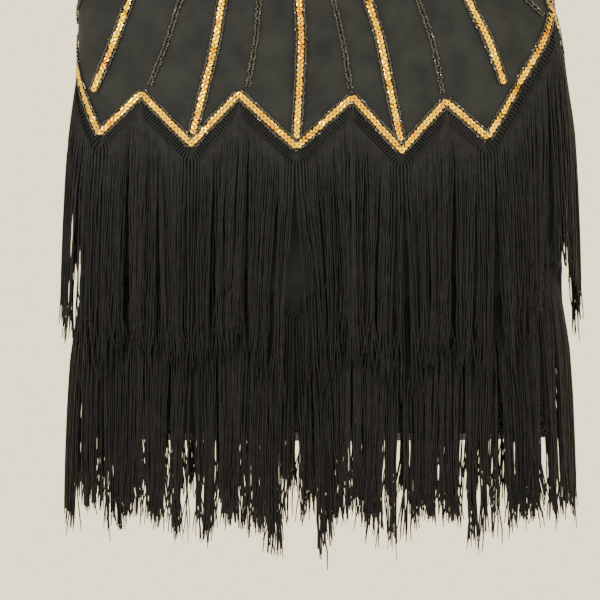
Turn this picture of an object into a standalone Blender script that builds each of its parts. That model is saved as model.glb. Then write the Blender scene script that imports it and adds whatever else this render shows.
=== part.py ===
# Flapper dress on a hanger: a sleeveless tube of dark mesh, hung flat, with two
# tiers of fringe sewn on in a zigzag. Units are metres and +Z is up. The front
# faces -Y, and the origin is the inner top of the hanger's hook, where a rail
# would hold it. Heights in the tables are millimetres above the base hem.

import math
import random
from collections import namedtuple

import bmesh
import bpy
import numpy as np
from mathutils import Vector

MM = 0.001

# Driving dimensions of the dress
HOOK_ABOVE_HEM = 975 * MM
SHOULDER_HEIGHT = 884 * MM
SHOULDER_SLOPE = 0.32
UNDERARM_HEIGHT = 670 * MM
FRONT_NECK_HEIGHT = 720 * MM
BACK_NECK_HEIGHT = 800 * MM
CLOTH_THICKNESS = 1.6 * MM
SHEER_THICKNESS = 1.1 * MM
SHEER_HEIGHT = 31 * MM
LINING_EDGE_HEIGHT = 34 * MM
SEAM_GAP = 0.3 * MM

# The sequin border stands out of the panels as a low ridge
BORDER_HALF_HEIGHT = 6 * MM
BORDER_RAISE = 1.3 * MM

# Fringe: a ribbed header tape, and locks that hang plumb from it and flare out
HEADER_HALF_HEIGHT = 5 * MM
HEADER_CLEARANCE = 0.8 * MM
HEADER_THICKNESS = 2 * MM
LOCK_LENGTH = 195 * MM
LOCK_LENGTH_SPREAD = 7 * MM
LOCK_SHARE = 0.74
LOCK_TIP_SHARE = 0.5
LOCK_TIP_THICKNESS_SHARE = 0.7
LOCK_SWAY = 2.5 * MM
LOCK_SWAY_WAVES = 9
LOCK_WANDER = 0.3 * MM
LOCK_STATIONS = (0.18, 0.55, 1.0)
PARTING_REACH = 0.26
PARTING_OPENS_BY = 0.77

# Hanger
CAP_HEIGHT = 8 * MM
BAR_RADIUS = 5.8 * MM
BAR_TALL = 22 * MM
BAR_HALF_LENGTH = 172 * MM
BAR_GAP = 0.8 * MM
BAR_STEPS = 20
BAR_SIDES = 12
BAR_END_LENGTH = 4 * MM
BAR_END_SHARE = 0.55
WIRE_RADIUS = 2 * MM
HOOK_RADIUS = 19 * MM
HOOK_FROM_DEGREES = -45
HOOK_TO_DEGREES = 195
HOOK_STEP_DEGREES = 15
DRILL_DEPTH = 14 * MM
DRILL_CLEARANCE = 0.3 * MM

# How finely the panels are divided
STEPS_BETWEEN_CORNERS = 5
NECK_STEP = 11
ARM_STEP = 17
ARMHOLE_POWER = 2.5
FRONT_NECK_POWER = 1.0
BACK_NECK_POWER = 2.0
ROWS_BELOW_BORDER = 5
ROWS_ABOVE_BORDER = 8
UPPER_ROW_EASE = 1.3
CAP_ANGLES = (math.radians(45), math.radians(90))
SECTION_STEPS = 360
SECTION_POWER = 2.3
NUDGE = 0.5 * MM
NUDGE_AROUND = 0.003

# Sections of the cloth tube: half of its width and depth, how far the pattern has
# slipped round it, and how far the section swings towards +X.
Ring = namedtuple("Ring", "height half_width half_depth turn lean")
RINGS = (
    Ring(0, 205, 43, -22, 1),
    Ring(60, 209, 45, -22, 3),
    Ring(150, 214, 48, -22, 4),
    Ring(262, 218, 50, -22, 4.5),
    Ring(310, 218, 50, -19.5, 4.5),
    Ring(350, 217, 49.5, -17, 3.5),
    Ring(393, 213, 48, -15, -0.5),
    Ring(470, 207, 45, -13, -1),
    Ring(560, 210, 46, -11, -1),
    Ring(640, 214, 45, -10, -1),
    Ring(720, 213, 38, -8, -1),
    Ring(800, 211, 24, -4, 0),
    Ring(876, 210, 11, 0, 0),
)

# Corners of the zigzag, in quarters of the way round from the centre front: the
# height of the sequin border and of the lower fringe's header.
Corner = namedtuple("Corner", "around border lower")
FRONT_CORNERS = (
    Corner(-1.00, 378, 150),
    Corner(-0.79, 270, 114),
    Corner(-0.59, 304, 149),
    Corner(-0.39, 259, 113),
    Corner(-0.20, 302, 145),
    Corner(0.00, 256, 111),
    Corner(0.20, 299, 151),
    Corner(0.39, 253, 109),
    Corner(0.58, 296, 147),
    Corner(0.75, 265, 110),
    Corner(1.00, 380, 152),
)
BACK_CORNERS = (
    Corner(1.00, 380, 152),
    Corner(1.22, 268, 113),
    Corner(1.41, 302, 148),
    Corner(1.61, 258, 112),
    Corner(1.80, 303, 147),
    Corner(2.00, 257, 111),
    Corner(2.19, 301, 149),
    Corner(2.39, 256, 110),
    Corner(2.60, 302, 150),
    Corner(2.79, 269, 114),
    Corner(3.00, 378, 150),
)

# Soft vertical troughs. Each starts at a height, is at its full depth from a lower
# height down to the hem, and is half as wide as half_width says on each side.
Fold = namedtuple("Fold", "around half_width depth starts full")
FOLDS = (
    Fold(-0.68, 0.13, 2.6, 560, 260),
    Fold(-0.30, 0.12, 2.4, 470, 120),
    Fold(0.09, 0.11, 3.2, 620, 300),
    Fold(0.47, 0.13, 2.8, 500, 160),
    Fold(0.84, 0.12, 3.0, 480, 330),
    Fold(1.34, 0.14, 3.0, 600, 240),
    Fold(1.70, 0.12, 2.2, 520, 180),
    Fold(2.12, 0.13, 3.1, 640, 280),
    Fold(2.52, 0.12, 2.5, 540, 150),
    Fold(2.82, 0.13, 2.7, 500, 260),
)

# Each tier of fringe: the corner table's column that its header follows and how far
# below it, how far its locks come to stand out, and over what drop.
Tier = namedtuple("Tier", "name column below flare flare_over")
UPPER = Tier("upper", "border", 12, 12.5, 110)
LOWER = Tier("lower", "lower", 0, 13, 90)

# Places where neighbouring locks part, with the gap between them at their tips
Parting = namedtuple("Parting", "tier around gap")
PARTINGS = (
    Parting("upper", -0.20, 6),
    Parting("upper", 0.00, 20),
    Parting("upper", 0.39, 7),
    Parting("lower", -0.39, 6),
    Parting("lower", 0.00, 8),
    Parting("lower", 0.39, 7),
    Parting("lower", 0.75, 11),
    Parting("upper", 1.61, 12),
    Parting("upper", 2.19, 7),
    Parting("lower", 1.41, 8),
    Parting("lower", 2.00, 9),
    Parting("lower", 2.60, 7),
)


# The hook's stem bends out to one side, from below the lowest point of its circle
Bend = namedtuple("Bend", "aside rise")
STEM_BENDS = (
    Bend(0, -22),
    Bend(0, -7),
    Bend(2.5, -1),
    Bend(8, 3),
)


def clear_scene():
    """Empty the scene that Blender starts with."""
    for thing in list(bpy.data.objects):
        bpy.data.objects.remove(thing)


def finish(name, color, roughness, metallic=0.0):
    """A material for one kind of piece."""
    material = bpy.data.materials.new(name)
    material.use_nodes = True
    shader = material.node_tree.nodes["Principled BSDF"]
    shader.inputs["Base Color"].default_value = (*color, 1.0)
    shader.inputs["Roughness"].default_value = roughness
    shader.inputs["Metallic"].default_value = metallic
    return material


def read_table(rows, column, at):
    """A column's value at a height in metres, on a smooth curve through the rows."""
    heights = [row.height * MM for row in rows]
    values = [getattr(row, column) for row in rows]
    at = min(max(at, heights[0]), heights[-1])
    low = max(i for i in range(len(rows) - 1) if heights[i] <= at)
    step = heights[low + 1] - heights[low]
    share = (at - heights[low]) / step

    def slope(index):
        before = max(index - 1, 0)
        after = min(index + 1, len(rows) - 1)
        return (values[after] - values[before]) / (heights[after] - heights[before])

    return (
        (2 * share**3 - 3 * share**2 + 1) * values[low]
        + (share**3 - 2 * share**2 + share) * step * slope(low)
        + (3 * share**2 - 2 * share**3) * values[low + 1]
        + (share**3 - share**2) * step * slope(low + 1)
    )


def smooth_step(share):
    """Ease from 0 to 1."""
    share = min(max(share, 0.0), 1.0)
    return share * share * (3 - 2 * share)


def from_panel_centre(around):
    """Quarters from the middle of the panel, 0 there and 1 at the side seams."""
    return abs(around - 2 * round(around / 2))


def shoulder_height(offset):
    """Height of the shoulder line at a distance in metres from the centre."""
    neck = strap_offset(NECK_STEP)
    if offset > neck:
        return SHOULDER_HEIGHT - SHOULDER_SLOPE * (offset - neck)
    return SHOULDER_HEIGHT + SHOULDER_SLOPE * (neck**2 - offset**2) / (2 * neck)


def strap_offset(step):
    """Distance of a strap's edge from the centre, from its column on the panel."""
    return RINGS[-1].half_width * MM * step / (len(FRONT_CORNERS) // 2 * STEPS_BETWEEN_CORNERS)


def cap_base(around):
    """Height at which a panel starts to bend over the hanger's bar."""
    offset = from_panel_centre(around) * RINGS[-1].half_width * MM
    return shoulder_height(max(offset, strap_offset(NECK_STEP))) - CAP_HEIGHT


def trough_depth(around, height):
    """How far the cloth is drawn in by its folds, in metres."""
    depth = 0.0
    for fold in FOLDS:
        away = abs((around - fold.around + 2) % 4 - 2) / fold.half_width
        if away < 1:
            drop = (fold.starts * MM - height) / ((fold.starts - fold.full) * MM)
            depth += fold.depth * MM * math.cos(away * math.pi / 2) ** 2 * smooth_step(drop)
    return depth


def section(height):
    """The tube's outline at a height: x, y and the distance along it from the front."""
    half_width = read_table(RINGS, "half_width", height) * MM
    half_depth = read_table(RINGS, "half_depth", height) * MM
    angles = np.linspace(-math.pi, math.pi, SECTION_STEPS + 1)
    power = 2 / SECTION_POWER
    x_line = half_width * np.sign(np.sin(angles)) * np.abs(np.sin(angles)) ** power
    y_line = -half_depth * np.sign(np.cos(angles)) * np.abs(np.cos(angles)) ** power
    along = np.concatenate(([0.0], np.cumsum(np.hypot(np.diff(x_line), np.diff(y_line)))))
    return x_line, y_line, along - along[-1] / 2


def cloth_point(around, height):
    """A point of the cloth, in quarters round from the centre front and a height."""
    ease_from = RINGS[-3].height * MM
    level = height
    if height > ease_from:
        rise = (RINGS[-1].height * MM - ease_from) / (cap_base(around) - ease_from)
        level = ease_from + (height - ease_from) * rise
    x_line, y_line, along = section(level)
    half_way = along[-1]
    reach = around * half_way / 2 + read_table(RINGS, "turn", level) * MM
    reach = (reach + half_way) % (2 * half_way) - half_way
    x = float(np.interp(reach, along, x_line))
    y = float(np.interp(reach, along, y_line))
    ahead = min(reach + NUDGE, half_way)
    back = ahead - 2 * NUDGE
    run_x = float(np.interp(ahead, along, x_line) - np.interp(back, along, x_line))
    run_y = float(np.interp(ahead, along, y_line) - np.interp(back, along, y_line))
    outward = Vector((run_y, -run_x, 0)).normalized()
    point = Vector((x + read_table(RINGS, "lean", level) * MM, y, height - HOOK_ABOVE_HEM))
    return point - outward * trough_depth(around, height)


def cloth_normal(around, height):
    """The outward direction of the cloth at a point."""
    lower = min(height, cap_base(around) - NUDGE) - NUDGE
    sideways = cloth_point(around + NUDGE_AROUND, height) - cloth_point(around - NUDGE_AROUND, height)
    upwards = cloth_point(around, lower + 2 * NUDGE) - cloth_point(around, lower)
    return sideways.cross(upwards).normalized()


def moved_out(around, height, distance):
    """A point that lies a distance outside the cloth, or inside it if negative."""
    return cloth_point(around, height) + cloth_normal(around, height) * distance


def columns_of(corners):
    """The places round the tube where a panel has a column of points."""
    places = []
    for left, right in zip(corners, corners[1:]):
        for step in range(STEPS_BETWEEN_CORNERS):
            places.append(left.around + (right.around - left.around) * step / STEPS_BETWEEN_CORNERS)
    places.append(corners[-1].around)
    return places


def zigzag_height(corners, column, around):
    """Height in metres of a zigzag line at a place round the tube."""
    return float(np.interp(around, [c.around for c in corners], [getattr(c, column) for c in corners])) * MM


def top_edge(step, around, neck_height, neck_power):
    """Height of a panel's upper edge at a column, counted from the panel's centre."""
    steps = len(FRONT_CORNERS) // 2 * STEPS_BETWEEN_CORNERS
    if step <= NECK_STEP:
        share = (step / NECK_STEP) ** neck_power
        return neck_height + (cap_base(around) + CAP_HEIGHT - neck_height) * share
    if step <= ARM_STEP:
        return cap_base(around) + CAP_HEIGHT
    share = (step - ARM_STEP) / (steps - ARM_STEP)
    shoulder = shoulder_height(strap_offset(ARM_STEP))
    return UNDERARM_HEIGHT + (shoulder - UNDERARM_HEIGHT) * (1 - share) ** ARMHOLE_POWER


def row_heights(border, top):
    """The heights of a column's points from the hem to its top."""
    heights = [0.0, SHEER_HEIGHT, LINING_EDGE_HEIGHT]
    low = border - BORDER_HALF_HEIGHT
    for row in range(1, ROWS_BELOW_BORDER + 1):
        heights.append(LINING_EDGE_HEIGHT + (low - LINING_EDGE_HEIGHT) * row / ROWS_BELOW_BORDER)
    heights.append(border)
    high = border + BORDER_HALF_HEIGHT
    for row in range(ROWS_ABOVE_BORDER + 1):
        share = 1 - (1 - row / ROWS_ABOVE_BORDER) ** UPPER_ROW_EASE
        heights.append(high + (top - high) * share)
    return heights


def panel_column(around, side, top, is_strap, border):
    """The outer and inner points of one column of a panel, from the hem up."""
    outer = []
    inner = []
    for height in row_heights(border, top - CAP_HEIGHT if is_strap else top):
        raise_by = BORDER_RAISE if height == border else 0.0
        thickness = SHEER_THICKNESS if height <= SHEER_HEIGHT else CLOTH_THICKNESS
        outer.append(moved_out(around, height, raise_by))
        inner.append(moved_out(around, height, -thickness))
    if is_strap:
        base = outer[-1].copy()
        for angle in CAP_ANGLES:
            for line, shrink in ((outer, 0.0), (inner, CLOTH_THICKNESS)):
                depth = (abs(base.y) - shrink) * math.cos(angle) + SEAM_GAP / 2
                lift = (CAP_HEIGHT - shrink) * math.sin(angle)
                line.append(Vector((base.x, side * depth, base.z + lift)))
    return outer, inner


def add_object(name, mesh, material):
    """Put a finished mesh in the scene under its node's name."""
    mesh.materials.append(material)
    thing = bpy.data.objects.new(name, mesh)
    bpy.context.scene.collection.objects.link(thing)
    mesh.shade_smooth()
    mesh.set_sharp_from_angle(angle=math.radians(40))
    return thing


def dress_panel(name, corners, side, neck_height, neck_power, material):
    """One panel: a wall of cloth between the hem, the side seams, neck and armholes."""
    places = columns_of(corners)
    centre = len(places) // 2
    quarter = section(UNDERARM_HEIGHT)[2][-1] / 2
    seam_trim = SEAM_GAP / 2 / quarter
    shape = bmesh.new()
    outer = []
    inner = []
    for index, place in enumerate(places):
        step = abs(index - centre)
        around = min(max(place, places[0] + seam_trim), places[-1] - seam_trim)
        top = top_edge(step, around, neck_height, neck_power)
        border = zigzag_height(corners, "border", around)
        is_strap = NECK_STEP <= step <= ARM_STEP
        outer_points, inner_points = panel_column(around, side, top, is_strap, border)
        outer.append([shape.verts.new(point) for point in outer_points])
        inner.append([shape.verts.new(point) for point in inner_points])

    for i in range(len(places) - 1):
        common = min(len(outer[i]), len(outer[i + 1])) - 1
        for j in range(common):
            shape.faces.new((outer[i][j], outer[i + 1][j], outer[i + 1][j + 1], outer[i][j + 1]))
            shape.faces.new((inner[i][j], inner[i][j + 1], inner[i + 1][j + 1], inner[i + 1][j]))
        for row in (0, common):
            shape.faces.new((outer[i][row], inner[i][row], inner[i + 1][row], outer[i + 1][row]))
        for longer, shorter in ((i, i + 1), (i + 1, i)):
            close_edge(shape, outer[longer], inner[longer], len(outer[shorter]) - 1)
    for edge in (0, -1):
        close_edge(shape, outer[edge], inner[edge], 0)
    bmesh.ops.recalc_face_normals(shape, faces=shape.faces)
    mesh = bpy.data.meshes.new(name)
    shape.to_mesh(mesh)
    shape.free()
    return add_object(name, mesh, material)


def close_edge(shape, outer, inner, from_row):
    """Close the wall's edge along one column, from a row up."""
    for j in range(from_row, len(outer) - 1):
        shape.faces.new((outer[j], outer[j + 1], inner[j + 1], inner[j]))


def parting_shift(tier, around, share):
    """Sideways shift of a lock's point, away from the partings near it."""
    shift = 0.0
    for parting in PARTINGS:
        away = around - parting.around
        if parting.tier == tier.name and abs(away) < PARTING_REACH:
            push = parting.gap * MM / 2 * (1 - abs(away) / PARTING_REACH)
            shift += math.copysign(push, away) * smooth_step(share / PARTING_OPENS_BY)
    return shift


def lock_sections(root, outward, sideways, width, around, tier, dice):
    """The four corners of a lock at each station below its root."""
    length = LOCK_LENGTH + dice.uniform(-1, 1) * LOCK_LENGTH_SPREAD
    wander = dice.uniform(-1, 1) * LOCK_WANDER
    sections = []
    for share in LOCK_STATIONS:
        drop = share * length
        flare = tier.flare * MM * (1 - math.exp(-drop / (tier.flare_over * MM)))
        sway = LOCK_SWAY * share * math.sin(around * LOCK_SWAY_WAVES) + wander * share
        centre = root + outward * flare + sideways * (sway + parting_shift(tier, around, share))
        centre.z -= drop
        half_width = width / 2 * (1 - (1 - LOCK_TIP_SHARE) * share**2)
        half_thickness = HEADER_THICKNESS / 2 * (1 - (1 - LOCK_TIP_THICKNESS_SHARE) * share)
        sections.append(
            [
                centre - sideways * half_width - outward * half_thickness,
                centre - sideways * half_width + outward * half_thickness,
                centre + sideways * half_width + outward * half_thickness,
                centre + sideways * half_width - outward * half_thickness,
            ]
        )
    return sections


def fringe(name, tier, corners, material):
    """A ribbed header tape along a zigzag, with a row of locks fused to its lower edge."""
    dice = random.Random(name)
    places = columns_of(corners)
    margin = (1 - LOCK_SHARE) / 2
    shape = bmesh.new()
    stations = []
    for left, right in zip(places, places[1:]):
        for place in (left + (right - left) * margin, right - (right - left) * margin):
            line = zigzag_height(corners, tier.column, place) - tier.below * MM
            ring = []
            for height in (line + HEADER_HALF_HEIGHT, line - HEADER_HALF_HEIGHT):
                for distance in (HEADER_CLEARANCE, HEADER_CLEARANCE + HEADER_THICKNESS):
                    ring.append(shape.verts.new(moved_out(place, height, distance)))
            stations.append((place, ring))

    for index, ((place, ring), (next_place, next_ring)) in enumerate(zip(stations, stations[1:])):
        top_in, top_out, low_in, low_out = ring
        next_top_in, next_top_out, next_low_in, next_low_out = next_ring
        shape.faces.new((top_out, low_out, next_low_out, next_top_out))
        shape.faces.new((top_in, next_top_in, next_low_in, low_in))
        shape.faces.new((top_in, top_out, next_top_out, next_top_in))
        root = [low_in, low_out, next_low_out, next_low_in]
        if index % 2:
            shape.faces.new((low_in, next_low_in, next_low_out, low_out))
            continue
        middle = (low_in.co + low_out.co + next_low_in.co + next_low_out.co) / 4
        sideways = next_low_out.co - low_out.co
        sideways.z = 0
        width = sideways.length
        sideways.normalize()
        outward = Vector((sideways.y, -sideways.x, 0))
        around = (place + next_place) / 2
        for corners_below in lock_sections(middle, outward, sideways, width, around, tier, dice):
            lower = [shape.verts.new(point) for point in corners_below]
            for k in range(4):
                after = (k + 1) % 4
                shape.faces.new((root[k], lower[k], lower[after], root[after]))
            root = lower
        shape.faces.new(root[::-1])
    first = stations[0][1]
    last = stations[-1][1]
    shape.faces.new((first[0], first[2], first[3], first[1]))
    shape.faces.new((last[0], last[1], last[3], last[2]))
    bmesh.ops.recalc_face_normals(shape, faces=shape.faces)
    mesh = bpy.data.meshes.new(name)
    shape.to_mesh(mesh)
    shape.free()
    return add_object(name, mesh, material)


def bar_top(x):
    """Height of the bar's upper edge, which lies just under the straps."""
    return shoulder_height(abs(x)) - CLOTH_THICKNESS - BAR_GAP - HOOK_ABOVE_HEM


def bar_section(x, scale):
    """The bar's rounded outline at one place along it, as a ring of points."""
    centre = bar_top(x) - BAR_TALL / 2
    straight = BAR_TALL / 2 - BAR_RADIUS
    points = []
    for side in range(BAR_SIDES):
        angle = 2 * math.pi * (side + 0.5) / BAR_SIDES
        y = BAR_RADIUS * math.cos(angle)
        z = BAR_RADIUS * math.sin(angle) + math.copysign(straight, math.sin(angle))
        points.append(Vector((x, y * scale, centre + z * scale)))
    return points


def hanger_bar(material):
    """A bowed wooden bar with rounded ends, drilled for the hook."""
    shape = bmesh.new()
    rings = []
    places = [BAR_HALF_LENGTH * (2 * step / BAR_STEPS - 1) for step in range(BAR_STEPS + 1)]
    end = BAR_HALF_LENGTH + BAR_END_LENGTH
    for x in [-end, *places, end]:
        scale = 1.0 if abs(x) <= BAR_HALF_LENGTH else BAR_END_SHARE
        rings.append([shape.verts.new(point) for point in bar_section(x, scale)])
    for ring, following in zip(rings, rings[1:]):
        for k in range(BAR_SIDES):
            after = (k + 1) % BAR_SIDES
            shape.faces.new((ring[k], following[k], following[after], ring[after]))
    shape.faces.new(rings[0])
    shape.faces.new(rings[-1][::-1])
    bmesh.ops.recalc_face_normals(shape, faces=shape.faces)
    mesh = bpy.data.meshes.new("hanger_bar")
    shape.to_mesh(mesh)
    shape.free()
    bar = add_object("hanger_bar", mesh, material)

    bpy.ops.mesh.primitive_cylinder_add(
        vertices=12,
        radius=WIRE_RADIUS + DRILL_CLEARANCE,
        depth=2 * DRILL_DEPTH,
        location=(0, 0, bar_top(0)),
    )
    drill = bpy.context.object
    drill.name = "drill"
    drill.hide_render = True
    drill.display_type = "WIRE"
    cut = bar.modifiers.new("hook_hole", "BOOLEAN")
    cut.operation = "DIFFERENCE"
    cut.solver = "EXACT"
    cut.object = drill
    return bar


def hook_route():
    """The wire's centre line: up from the bar, out to one side and over the top."""
    centre_z = WIRE_RADIUS - HOOK_RADIUS
    foot = Vector((0, 0, bar_top(0) - DRILL_DEPTH + DRILL_CLEARANCE))
    route = [foot]
    for stem in STEM_BENDS:
        route.append(Vector((stem.aside * MM, 0, centre_z - HOOK_RADIUS + stem.rise * MM)))
    for degrees in range(HOOK_FROM_DEGREES, HOOK_TO_DEGREES + 1, HOOK_STEP_DEGREES):
        angle = math.radians(degrees)
        x = HOOK_RADIUS * math.cos(angle)
        z = centre_z + HOOK_RADIUS * math.sin(angle)
        route.append(Vector((x, 0, z)))
    return route


def hanger_hook(material):
    """A bent wire with its inner top at the origin."""
    curve = bpy.data.curves.new("hanger_hook", "CURVE")
    curve.dimensions = "3D"
    curve.bevel_depth = WIRE_RADIUS
    curve.bevel_resolution = 2
    curve.use_fill_caps = True
    route = hook_route()
    spline = curve.splines.new("POLY")
    spline.points.add(len(route) - 1)
    for spline_point, place in zip(spline.points, route):
        spline_point.co = (*place, 1.0)
    curve.materials.append(material)
    hook = bpy.data.objects.new("hanger_hook", curve)
    bpy.context.scene.collection.objects.link(hook)
    return hook


def main():
    clear_scene()
    cloth = finish("charcoal_mesh", (0.045, 0.048, 0.05), 0.7)
    strands = finish("black_fringe", (0.016, 0.018, 0.024), 0.45)
    wood = finish("plain_wood", (0.42, 0.27, 0.15), 0.5)
    wire = finish("steel_wire", (0.6, 0.6, 0.6), 0.3, 1.0)
    dress_panel("dress_front", FRONT_CORNERS, -1, FRONT_NECK_HEIGHT, FRONT_NECK_POWER, cloth)
    dress_panel("dress_back", BACK_CORNERS, 1, BACK_NECK_HEIGHT, BACK_NECK_POWER, cloth)
    fringe("fringe_upper_front", UPPER, FRONT_CORNERS, strands)
    fringe("fringe_upper_back", UPPER, BACK_CORNERS, strands)
    fringe("fringe_lower_front", LOWER, FRONT_CORNERS, strands)
    fringe("fringe_lower_back", LOWER, BACK_CORNERS, strands)
    hanger_bar(wood)
    hanger_hook(wire)


main()
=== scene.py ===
# %% [markdown]
# # A flapper dress on a hanger
# The dress is a tube of dark ribbed mesh that hangs flat from two straps. What makes
# it is what is sewn on: gold sequins, black beads and two tiers of long fringe. The
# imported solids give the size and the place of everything, so they are loaded first.

# %% Load the frame and keep its box
import math
import random
from collections import namedtuple
from functools import lru_cache

import bpy
import numpy as np
from mathutils import Matrix, Vector


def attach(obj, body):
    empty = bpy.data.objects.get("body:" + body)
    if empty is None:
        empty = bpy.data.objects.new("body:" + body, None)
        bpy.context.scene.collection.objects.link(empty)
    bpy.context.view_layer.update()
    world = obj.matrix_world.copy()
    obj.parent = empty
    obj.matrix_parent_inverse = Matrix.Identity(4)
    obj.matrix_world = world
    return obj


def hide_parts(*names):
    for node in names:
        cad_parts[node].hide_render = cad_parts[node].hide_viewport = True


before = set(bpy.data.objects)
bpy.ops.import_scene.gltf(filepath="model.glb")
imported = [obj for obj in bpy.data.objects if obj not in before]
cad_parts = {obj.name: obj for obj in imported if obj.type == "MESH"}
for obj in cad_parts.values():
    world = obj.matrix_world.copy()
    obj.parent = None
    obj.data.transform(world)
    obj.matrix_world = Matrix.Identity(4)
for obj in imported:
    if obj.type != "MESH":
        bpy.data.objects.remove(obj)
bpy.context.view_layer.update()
MM = 0.001

# %% [markdown]
# The camera looks level at the lower half of the dress from 1.4 m in front of it. The
# lens follows from that distance and from 0.9 mm of cloth for each pixel.

# %% Place the camera
PIXELS_ACROSS = 600
PIXEL_SIZE = 0.9 * MM
CAMERA_DISTANCE = 1.4
CAMERA_X = -14.4 * MM
CAMERA_HEIGHT = -852 * MM
LEVEL = (math.radians(90), 0, 0)
bpy.ops.object.select_all(action="DESELECT")
bpy.ops.object.camera_add(location=(CAMERA_X, -CAMERA_DISTANCE, CAMERA_HEIGHT), rotation=LEVEL)
camera = bpy.context.object
camera.data.lens = camera.data.sensor_width * CAMERA_DISTANCE / (PIXELS_ACROSS * PIXEL_SIZE)
bpy.context.scene.camera = camera
print("lens:", round(camera.data.lens, 1), "mm")

# %% [markdown]
# Light from one large lamp high on the left lets the strands shade each other, and a
# weaker one on the right keeps their dark sides open. A third serves the views from
# behind. The pale surround fills in, and gives beads and sequins something to reflect.

# %% Light the dress
Lamp = namedtuple("Lamp", "name place aim size watts")
LAMPS = (
    Lamp("key", place=(-1.1, -1.7, 0.5), aim=(0, 0, -0.8), size=0.8, watts=42),
    Lamp("fill", place=(1.5, -1.4, -0.4), aim=(0, 0, -0.8), size=1.2, watts=14),
    Lamp("behind", place=(0.6, 1.8, 0.4), aim=(0, 0, -0.7), size=1.2, watts=24),
)
SURROUND_COLOUR = (0.86, 0.745, 0.50, 1)
SURROUND_STRENGTH = 2.5

for row in LAMPS:
    bpy.ops.object.light_add(type="AREA", location=row.place)
    lamp = bpy.context.object
    lamp.name = row.name
    lamp.data.size = row.size
    lamp.data.energy = row.watts
    towards = Vector(row.aim) - Vector(row.place)
    lamp.rotation_euler = towards.to_track_quat("-Z", "Y").to_euler()

world = bpy.data.worlds.new("pale surround")
bpy.context.scene.world = world
world.use_nodes = True
surround = world.node_tree.nodes["Background"]
surround.inputs["Color"].default_value = SURROUND_COLOUR
surround.inputs["Strength"].default_value = SURROUND_STRENGTH
print("lamps:", len(LAMPS))

# %% [markdown]
# A plain floor lies well below the hem. It belongs to the stage and not to the dress.

# %% Lay the floor
FLOOR_SIZE = 4
FLOOR_HEIGHT = -1.75
bpy.ops.mesh.primitive_plane_add(size=FLOOR_SIZE, location=(0, 0, FLOOR_HEIGHT))
floor = bpy.context.object
floor.name = "floor"
print("floor at:", FLOOR_HEIGHT, "m")

# %% [markdown]
# Every finish has tone that drifts over it, since dye, thread and metal are never
# quite even. That drift is one node group, placed in each material with its own scale.
# Inside it a soft noise is pushed towards its ends, and mixes a dark and a light tone.

# %% Build the shared drift of tone
NOISE_DETAIL = 5
DARK_BELOW = 0.35
LIGHT_ABOVE = 0.65
drift = bpy.data.node_groups.new("drift of tone", "ShaderNodeTree")
for socket, way, kind in (
    ("Vector", "INPUT", "NodeSocketVector"),
    ("Scale", "INPUT", "NodeSocketFloat"),
    ("Dark", "INPUT", "NodeSocketColor"),
    ("Light", "INPUT", "NodeSocketColor"),
    ("Color", "OUTPUT", "NodeSocketColor"),
):
    drift.interface.new_socket(name=socket, in_out=way, socket_type=kind)
group_in = drift.nodes.new("NodeGroupInput")
group_out = drift.nodes.new("NodeGroupOutput")
patches = drift.nodes.new("ShaderNodeTexNoise")
patches.inputs["Detail"].default_value = NOISE_DETAIL
contrast = drift.nodes.new("ShaderNodeMapRange")
contrast.inputs["From Min"].default_value = DARK_BELOW
contrast.inputs["From Max"].default_value = LIGHT_ABOVE
blend = drift.nodes.new("ShaderNodeMixRGB")
for output, target in (
    (group_in.outputs["Vector"], patches.inputs["Vector"]),
    (group_in.outputs["Scale"], patches.inputs["Scale"]),
    (patches.outputs["Fac"], contrast.inputs["Value"]),
    (contrast.outputs["Result"], blend.inputs["Fac"]),
    (group_in.outputs["Dark"], blend.inputs["Color1"]),
    (group_in.outputs["Light"], blend.inputs["Color2"]),
    (blend.outputs["Color"], group_out.inputs["Color"]),
):
    drift.links.new(output, target)
print("node group:", drift.name)

# %% [markdown]
# Each material starts from that group and then gets what makes it that material. Ribs,
# twist, scratches and grain are finer than the mesh can carry, so they are a bump.

# %% Start a finish from that group
Finish = namedtuple("Finish", "material tree shader place")


def set_inputs(node, values):
    """Set some of a node's inputs by name."""
    for socket, value in values.items():
        node.inputs[socket].default_value = value


def start_finish(name, scale, dark, light, roughness, metallic=0.0):
    """A material whose colour drifts between two tones, with the nodes to add to."""
    material = bpy.data.materials.new(name)
    material.use_nodes = True
    tree = material.node_tree
    shader = tree.nodes["Principled BSDF"]
    set_inputs(shader, {"Roughness": roughness, "Metallic": metallic})
    place = tree.nodes.new("ShaderNodeTexCoord")
    tone = tree.nodes.new("ShaderNodeGroup")
    tone.node_tree = drift
    set_inputs(tone, {"Scale": scale, "Dark": (*dark, 1), "Light": (*light, 1)})
    tree.links.new(place.outputs["Object"], tone.inputs["Vector"])
    tree.links.new(tone.outputs["Color"], shader.inputs["Base Color"])
    return Finish(material, tree, shader, place)


def raise_pattern(finish, texture, coordinates, strength, distance):
    """Raise a texture's pattern on a finish by a bump."""
    bump = finish.tree.nodes.new("ShaderNodeBump")
    set_inputs(bump, {"Strength": strength, "Distance": distance})
    finish.tree.links.new(finish.place.outputs[coordinates], texture.inputs["Vector"])
    finish.tree.links.new(texture.outputs["Fac"], bump.inputs["Height"])
    finish.tree.links.new(bump.outputs["Normal"], finish.shader.inputs["Normal"])


print("each finish has:", ", ".join(Finish._fields))

# %% [markdown]
# The mesh is ribbed across, 2.4 mm from rib to rib, and where the lining stops short
# of the hem it is single and lets some light through. The ribs follow the cloth by its
# UV map, which holds each point's place on the flat panel in metres.

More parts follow.
